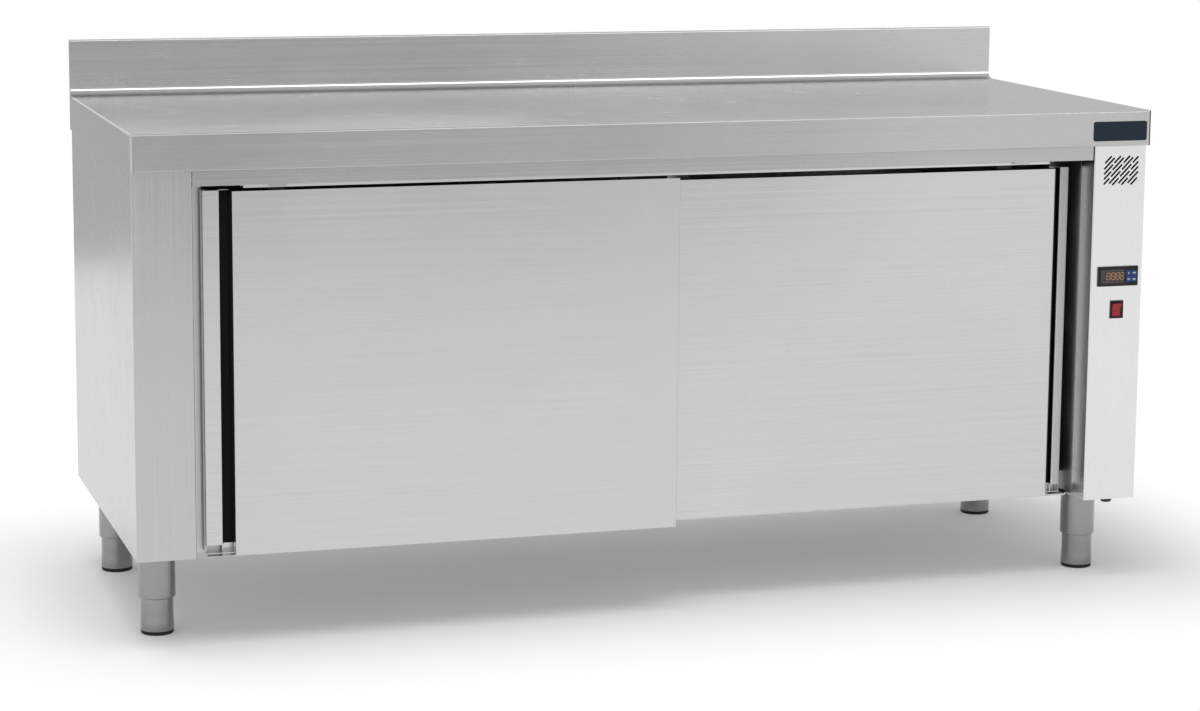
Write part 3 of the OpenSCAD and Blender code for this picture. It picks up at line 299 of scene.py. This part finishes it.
ownFinish = {  # nodes that look different from the rest of their slot
    # header rail: darker tone than the other sheets, painted shade from the apron overhanging it
    "header_rail": brushedSteel("headerShadedSteel", (0.47, 0.472, 0.475), 0.24, "x"),
    "shelf_rails": brushedSteel("railSteel", (0.56, 0.565, 0.57), 0.34, "y"),
    "track_stops": moulded("stopRubber", (0.015, 0.015, 0.015), 0.6, specular=0.3),
    "fan_impeller": zincSheet("wheelZinc", (0.5, 0.51, 0.52), 0.38),
}
for nodeName, obj in nodes.items():
    finish = ownFinish.get(nodeName, finishes[slotOfNode[nodeName]])
    if not obj.material_slots:
        obj.data.materials.append(finish)
    for place in obj.material_slots:
        place.material = finish
print("finishes on", len(nodes), "nodes")

# Mesh helpers.


# Joined lofts: every loft is an array of rings, each ring one closed outline, and
# neighbouring rings are joined by four-sided faces; the first and last ring are closed.
def loftMesh(name, lofts, material, body, smooth=False):
    points, faces, base = [], [], 0
    for rings in lofts:
        count, around = rings.shape[0], rings.shape[1]
        points.append(rings.reshape(-1, 3))
        index = base + np.arange(count * around).reshape(count, around)
        here, ahead = index[:-1], index[1:]
        quads = np.stack([here, np.roll(here, -1, 1), np.roll(ahead, -1, 1), ahead], -1)
        faces += quads.reshape(-1, 4).tolist()
        faces += [index[0][::-1].tolist(), index[-1].tolist()]
        base += count * around
    mesh = bpy.data.meshes.new(name)
    mesh.from_pydata(np.concatenate(points).tolist(), [], faces)
    shape = bmesh.new()
    shape.from_mesh(mesh)
    bmesh.ops.recalc_face_normals(shape, faces=shape.faces)
    shape.to_mesh(mesh)
    shape.free()
    mesh.polygons.foreach_set("use_smooth", [smooth] * len(mesh.polygons))
    mesh.materials.append(material)
    obj = bpy.data.objects.new(name, mesh)
    bpy.context.scene.collection.objects.link(obj)
    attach(obj, body)


# A rectangle with round corners: quarter circles about the four corner centres.
def roundedOutline(width, height, radius, steps=6):
    radius = max(radius, 1e-5)
    turn = np.linspace(0.0, np.pi / 2, steps + 1)
    corner = np.repeat(np.arange(4), steps + 1)
    angle = np.tile(turn, 4) + corner * np.pi / 2
    centre = np.array([[1, 1], [-1, 1], [-1, -1], [1, -1]])[corner]
    half = np.array([width / 2 - radius, height / 2 - radius])
    return centre * half + radius * np.stack([np.cos(angle), np.sin(angle)], -1)


# A circle: the radius times the cosine and sine of evenly spaced angles.
def circleOutline(radius, steps=24):
    angle = np.linspace(0.0, 2 * np.pi, steps, endpoint=False)
    return radius * np.stack([np.cos(angle), np.sin(angle)], -1)


# Outlines set at heights above a plane: u and v lie in the plane, w is its outward normal.
def raised(outlines, heights, origin, u, v, w):
    flat = np.stack(outlines)
    axes = np.array([u, v], float)
    lift = np.array(heights)[:, None, None] * np.array(w, float)
    return np.array(origin, float) + flat @ axes + lift


frontPlane = ((1, 0, 0), (0, 0, 1), (0, -1, 0))
rearPlane = ((-1, 0, 0), (0, 0, 1), (0, 1, 0))
leftwardPlane = ((0, -1, 0), (0, 0, 1), (-1, 0, 0))
downPlane = ((1, 0, 0), (0, -1, 0), (0, 0, -1))

# Bare name plate.

namePlate = {"width": 0.1035, "height": 0.0345, "corner": 0.004, "thick": 0.0006, "bevel": 0.0002,
             "x": 0.8385, "z": 0.8145}
plateInk = moulded("plateInk", (0.006, 0.017, 0.033), 0.3, pebble=600.0, strength=0.05, specular=0.25)


# The plate: rounded rectangles stacked on the apron's face, the last drawn in by the bevel.
def makeNamePlate(s):
    insets = [0.0, 0.0, s["bevel"]]
    outlines = [roundedOutline(s["width"] - 2 * i, s["height"] - 2 * i, s["corner"] - i) for i in insets]
    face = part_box("worktop")[0].y
    rings = raised(outlines, [0.0, s["thick"] - s["bevel"], s["thick"]], (s["x"], face, s["z"]), *frontPlane)
    loftMesh("namePlate", [rings], plateInk, "cabinet")


makeNamePlate(namePlate)
print("name plate made")

# Controller: digits, pilot marks and key marks.

display = {"digit": (0.0066, 0.0118), "pitch": 0.0090, "bar": 0.0010, "gap": 0.00025, "lift": 0.00012,
           "sunk": 0.0001, "lean": 0.08, "count": 4, "left": -0.0235, "rise": 0.0005,
           "pilots": (-0.022, -0.012, -0.002), "pilotSize": (0.0018, 0.0006, 0.0002), "pilotDrop": -0.0098}
amberGlow = glowing("amberSegments", (0.25, 0.11, 0.05), (0.60, 0.33, 0.15), 0.40)
markInk = moulded("markInk", (0.75, 0.8, 0.88), 0.4)


# One bar of a digit: a long hexagon from a to b, its ends pointed.
def barOutline(a, b, width):
    a, b = np.array(a), np.array(b)
    along = (b - a) / np.linalg.norm(b - a)
    across = np.array([-along[1], along[0]]) * width / 2
    tip = along * width / 2
    return np.array([a, a + tip - across, b - tip - across, b, b - tip + across, a + tip + across])


# Seven bars for each digit, leaned by a shear of x with height, and three pilot marks below.
def makeDigits(s):
    w, h = s["digit"]
    g = s["gap"]
    bars = [((g, h), (w - g, h)), ((w, h - g), (w, h / 2 + g)), ((w, h / 2 - g), (w, g)),
            ((g, 0), (w - g, 0)), ((0, g), (0, h / 2 - g)), ((0, h / 2 + g), (0, h - g)),
            ((g, h / 2), (w - g, h / 2))]
    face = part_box("display_window")[0].y
    low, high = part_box("controller_case")
    middle = (low + high) / 2
    shapes = []
    for place in range(s["count"]):
        for ends in bars:
            flat = barOutline(*ends, s["bar"])
            flat[:, 0] += place * s["pitch"] + flat[:, 1] * s["lean"] + s["left"]
            flat[:, 1] += s["rise"] - h / 2
            shapes.append(flat)
    pilot = roundedOutline(*s["pilotSize"], 2)
    shapes += [pilot + np.array([x, s["pilotDrop"]]) for x in s["pilots"]]
    lofts = [raised([flat, flat], [-s["sunk"], s["lift"]], (middle.x, face, middle.z), *frontPlane)
             for flat in shapes]
    loftMesh("displayDigits", lofts, amberGlow, "cabinet")


makeDigits(display)

# A curved arrow: an arc band that swells in its middle, pointing up or down.
def arrowOutline(radius, width, direction):
    angle = np.radians(np.linspace(35, 145, 13))
    swell = width * (0.35 + 0.65 * np.sin((angle - angle[0]) / (angle[-1] - angle[0]) * np.pi))
    outer = np.stack([(radius + swell / 2) * np.cos(angle), (radius + swell / 2) * np.sin(angle)], -1)
    inner = np.stack([(radius - swell / 2) * np.cos(angle), (radius - swell / 2) * np.sin(angle)], -1)
    flat = np.concatenate([outer, inner[::-1]])
    flat[:, 1] = (flat[:, 1] - radius * 0.75) * direction
    return flat if direction > 0 else flat[::-1]


keyMarks = {
    "key_up": arrowOutline(0.0036, 0.0017, 1),
    "key_down": arrowOutline(0.0036, 0.0017, -1),
    "key_set": roundedOutline(0.0058, 0.0013, 0.0004, 3),
    "key_power": roundedOutline(0.0014, 0.0036, 0.0005, 3),
}
bodyOfKey = {"key_up": "up_key", "key_down": "down_key", "key_set": "set_key", "key_power": "power_key"}
markSunk, markLift = 0.0001, 0.00008
for key, flat in keyMarks.items():
    low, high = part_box(key)
    middle = (low + high) / 2
    rings = raised([flat, flat], [-markSunk, markLift], (middle.x, low.y, middle.z), *frontPlane)
    loftMesh(key.replace("key_", "mark") + "Sign", [rings], markInk, bodyOfKey[key])
print("controller dressed")

# Dark liners of the finger pulls.
# Black troughs in the finger pulls: painted shade, dark sheets put in the grooves to stand in for their deep
# shadow.

pullShadeLiner = {"wall": 0.0006, "endRise": 0.016, "topGap": 0.001, "setIn": 0.0012, "pullWidth": 0.0175,
             "frontStrip": 0.0285, "rearStrip": 0.0175, "pullDepth": 0.030, "stripSet": 0.019}
# near-black finish of the troughs: painted shade standing in for the darkness deep in each groove
pullShadeBlack = moulded("pullShadeBlack", (0.006, 0.006, 0.0062), 0.7, specular=0.15)


# A trough of painted shade: its section is a thin U, carried up the pull.
def makePullShadeLiner(name, s, low, high, x0, body):
    x1 = x0 + s["pullWidth"]
    front = low.y + s["stripSet"] + s["setIn"]
    floor = low.y + s["pullDepth"]
    t = s["wall"]
    section = np.array([[x0, front], [x0, floor], [x1, floor], [x1, front],
                        [x1 - t, front], [x1 - t, floor - t], [x0 + t, floor - t], [x0 + t, front]])
    ends = (low.z + s["endRise"], high.z - s["topGap"])
    rings = np.stack([np.column_stack([section, np.full(len(section), z)]) for z in ends])
    loftMesh(name, [rings], pullShadeBlack, body)


doorLow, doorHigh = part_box("front_door_skin")
frontPullX = doorLow.x + pullShadeLiner["frontStrip"]
makePullShadeLiner("frontPullShadeLiner", pullShadeLiner, doorLow, doorHigh, frontPullX, "front_door")
doorLow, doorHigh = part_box("rear_door_skin")
rearPullX = doorHigh.x - pullShadeLiner["rearStrip"] - pullShadeLiner["pullWidth"]
makePullShadeLiner("rearPullShadeLiner", pullShadeLiner, doorLow, doorHigh, rearPullX, "rear_door")
print("finger pulls lined")

# Screws and bolts.

screwSteel = brushedSteel("screwSteel", (0.6, 0.605, 0.61), 0.28, "round")
backScrews = {"edge": 0.012, "across": 8, "up": 5, "radius": 0.0045, "rise": 0.0022}
coverScrews = {"half": 0.096, "radius": 0.004, "rise": 0.0018}
legBolts = {"reach": 0.0285, "plateUnder": 0.0015, "radius": 0.005, "rise": 0.0035}


# A round head: circles that shrink along a quarter ellipse, on a short shank.
def screwHead(origin, plane, s, rim=0.0004, steps=5):
    radius, rise = s["radius"], s["rise"]
    bend = np.linspace(0.0, np.pi / 2 * 0.94, steps)
    outlines = [circleOutline(radius, 20)] + [circleOutline(radius * math.cos(b), 20) for b in bend]
    heights = [-rim] + [rim + (rise - rim) * math.sin(b) for b in bend]
    return raised(outlines, heights, origin, *plane)


# A hexagon head: a six-sided ring with its top edge broken, on a round washer.
def boltHead(origin, plane, s, washerTop=0.0010, seat=0.0009, broken=0.0006):
    radius, rise = s["radius"], s["rise"]
    washer = raised([circleOutline(radius * 1.35, 18)] * 2, [-0.0003, washerTop], origin, *plane)
    outlines = [circleOutline(r, 6) for r in (radius, radius, radius * 0.86)]
    head = raised(outlines, [seat, rise - broken, rise], origin, *plane)
    return [washer, head]


# Heads in rows along the back panel's edges, and at the four corners of the air cover.
def makeScrews():
    low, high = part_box("back_panel")
    edge = backScrews["edge"]
    xs = np.linspace(low.x + edge, high.x - edge, backScrews["across"])
    zs = np.linspace(low.z + edge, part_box("worktop")[0].z - edge, backScrews["up"])
    places = [(x, z) for x in xs for z in (zs[0], zs[-1])]
    places += [(x, z) for x in (xs[0], xs[-1]) for z in zs[1:-1]]
    back = [screwHead((x, high.y, z), rearPlane, backScrews) for x, z in places]
    loftMesh("backPanelScrews", back, screwSteel, "cabinet", smooth=True)
    low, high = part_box("air_cover")
    middle, half = (low + high) / 2, coverScrews["half"]
    heads = [screwHead((low.x, middle.y + a * half, middle.z + b * half), leftwardPlane, coverScrews)
             for a in (-1, 1) for b in (-1, 1)]
    loftMesh("airCoverScrews", heads, screwSteel, "cabinet", smooth=True)


# Four bolts under each leg's plate, at equal distances from the leg's axis on x and y.
def makeLegBolts():
    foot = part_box("front_left_foot")
    legX = abs(foot[0].x + foot[1].x) / 2
    legYs = [sum(corner.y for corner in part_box(n)) / 2 for n in ("front_left_foot", "rear_left_foot")]
    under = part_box("base_pan")[0].z - legBolts["plateUnder"]
    reach = legBolts["reach"]
    bolts = []
    for x in (-legX, legX):
        for y in legYs:
            for a in (-1, 1):
                for b in (-1, 1):
                    bolts += boltHead((x + a * reach, y + b * reach, under), downPlane, legBolts)
    loftMesh("legPlateBolts", bolts, screwSteel, "cabinet")


makeScrews()
makeLegBolts()
print("screws and bolts made")

# Studio.

studio = {
    "floorReach": 40.0, "floorTone": 0.80, "floorGlow": 0.13, "footprint": (0.92, 0.36),
    "shadowEnd": (0.0, 0.45), "fill": 0.60,
    "lampPower": 75.0, "lampSize": (3.6, 2.0), "lampPlace": (-0.6, -0.4, 3.3), "lampAim": (0.0, 0.0, 0.3),
}
# Grey cards that only the steel's reflections see: middle, half sizes, which way each
# faces, and the level from one end to the other.
cards = {
    "frontCard": {"middle": (-2.7, -5.0, 0.75), "half": (4.8, 0.75), "faces": "y", "level": (0.38, 0.64)},
    "rearCard": {"middle": (-2.2, 4.0, 0.30), "half": (1.5, 0.45), "faces": "y", "level": (0.50, 0.55)},
    "rearRightCard": {"middle": (3.6, 6.0, 1.5), "half": (2.0, 1.3), "faces": "y", "level": (0.62, 0.62)},
    "stripCard": {"middle": (0.0, -2.2, 2.4), "half": (4.0, 0.5), "faces": "y", "level": (3.0, 4.0)},
    "rightCard": {"middle": (4.0, 1.0, 1.0), "half": (3.0, 2.0), "faces": "x", "level": (0.10, 0.10)},
    "ceilingCard": {"middle": (0.0, 0.0, 4.0), "half": (4.5, 3.5), "faces": "z", "level": (0.55, 0.85)},
}


# 1 for the rays that see the background: the camera's, reflected and transmitted ones.
def seenRays(tree):
    light = addNode(tree, "ShaderNodeLightPath")
    either = mathOf(tree, "MAXIMUM", light.outputs["Is Camera Ray"], light.outputs["Is Glossy Ray"])
    return mathOf(tree, "MAXIMUM", either, light.outputs["Is Transmission Ray"])


# A stage sheet: a grid of points joined by four-sided faces, with an empty node tree.
def stageSheet(name, materialName, points):
    count = points.shape[0]
    index = np.arange(count * count).reshape(count, count)
    quads = np.stack([index[:-1, :-1], index[1:, :-1], index[1:, 1:], index[:-1, 1:]], -1).reshape(-1, 4)
    mesh = bpy.data.meshes.new(name)
    mesh.from_pydata(points.reshape(-1, 3).tolist(), [], quads.tolist())
    sheet = bpy.data.objects.new(name, mesh)
    bpy.context.scene.collection.objects.link(sheet)
    material = bpy.data.materials.new(materialName)
    material.use_nodes = True
    material.node_tree.nodes.clear()
    mesh.materials.append(material)
    return sheet, material.node_tree


# Object coordinates, one output for each axis.
def objectAxes(tree):
    where = addNode(tree, "ShaderNodeTexCoord")
    apart = addNode(tree, "ShaderNodeSeparateXYZ")
    tree.links.new(where.outputs["Object"], apart.inputs[0])
    return apart.outputs


# The floor takes the cabinet's shadow near its footprint and is plain white farther out.
# Distance outside the footprint: the length of what exceeds its half sizes on x and y.
def makeFloor(s):
    side = np.linspace(-s["floorReach"], s["floorReach"], 9)
    xs, ys = np.meshgrid(side, side, indexing="ij")
    floor, tree = stageSheet("studioFloor", "floorPaper", np.stack([xs, ys, np.zeros_like(xs)], -1))
    out = addNode(tree, "ShaderNodeOutputMaterial")
    paper = setInputs(addNode(tree, "ShaderNodeBsdfDiffuse"), Color=(s["floorTone"],) * 3 + (1,))
    glow = addNode(tree, "ShaderNodeEmission")
    tree.links.new(mathOf(tree, "MULTIPLY", seenRays(tree), s["floorGlow"]), glow.inputs["Strength"])
    near = addNode(tree, "ShaderNodeAddShader")
    tree.links.new(paper.outputs[0], near.inputs[0])
    tree.links.new(glow.outputs[0], near.inputs[1])
    white = setInputs(addNode(tree, "ShaderNodeEmission"), Strength=1.0)
    axes = objectAxes(tree)
    over = []
    for axis, half in zip("XY", s["footprint"]):
        size = mathOf(tree, "ABSOLUTE", axes[axis], 0.0)
        past = mathOf(tree, "MAXIMUM", mathOf(tree, "SUBTRACT", size, half), 0.0)
        over.append(mathOf(tree, "MULTIPLY", past, past))
    away = mathOf(tree, "SQRT", mathOf(tree, "ADD", *over), 0.0)
    share = mathOf(tree, "MULTIPLY", easedRamp(tree, away, *s["shadowEnd"], 0.0, 1.0), seenRays(tree))
    mix = addNode(tree, "ShaderNodeMixShader")
    tree.links.new(share, mix.inputs["Fac"])
    tree.links.new(near.outputs[0], mix.inputs[1])
    tree.links.new(white.outputs[0], mix.inputs[2])
    tree.links.new(mix.outputs[0], out.inputs["Surface"])


# The world: white to the camera, to reflections and through glass, and an even fill else.
def makeWorld(s):
    world = bpy.data.worlds.new("studioRoom")
    bpy.context.scene.world = world
    world.use_nodes = True
    tree = world.node_tree
    tree.nodes.clear()
    out = addNode(tree, "ShaderNodeOutputWorld")
    room = setInputs(addNode(tree, "ShaderNodeBackground"), Color=(1, 1, 1, 1))
    level = mathOf(tree, "MAXIMUM", seenRays(tree), s["fill"])
    tree.links.new(level, room.inputs["Strength"])
    tree.links.new(room.outputs[0], out.inputs["Surface"])


# A card is a grid over its two half sizes, its level easing from one end to the other.
def makeCard(name, s):
    across = np.linspace(-1.0, 1.0, 3)
    u, v = np.meshgrid(across * s["half"][0], across * s["half"][1], indexing="ij")
    flat = {"x": (0 * u, u, v), "y": (u, 0 * u, v), "z": (u, v, 0 * u)}[s["faces"]]
    card, tree = stageSheet(name, name + "Grey", np.stack(flat, -1) + np.array(s["middle"]))
    out = addNode(tree, "ShaderNodeOutputMaterial")
    grey = setInputs(addNode(tree, "ShaderNodeEmission"), Color=(1, 1, 1, 1))
    axis = 1 if s["faces"] == "x" else 0
    ends = (s["middle"][axis] - s["half"][0], s["middle"][axis] + s["half"][0])
    tree.links.new(easedRamp(tree, objectAxes(tree)[axis], *ends, *s["level"]), grey.inputs["Strength"])
    tree.links.new(grey.outputs[0], out.inputs["Surface"])
    card.visible_camera = False
    card.visible_diffuse = False
    card.visible_shadow = False
    card.visible_transmission = False


# A wide soft lamp over the cabinet, left out of reflections.
def makeLamp(s):
    data = bpy.data.lights.new("frontLamp", "AREA")
    data.shape = "RECTANGLE"
    data.size, data.size_y = s["lampSize"]
    data.energy = s["lampPower"]
    obj = bpy.data.objects.new("frontLamp", data)
    obj.location = s["lampPlace"]
    aim = Vector(s["lampAim"]) - Vector(s["lampPlace"])
    obj.rotation_euler = aim.to_track_quat("-Z", "Y").to_euler()
    obj.visible_glossy = False
    bpy.context.scene.collection.objects.link(obj)


makeFloor(studio)
makeWorld(studio)
makeLamp(studio)
for cardName, card in cards.items():
    makeCard(cardName, card)
bpy.context.scene.view_settings.view_transform = "Standard"
print("studio lit")
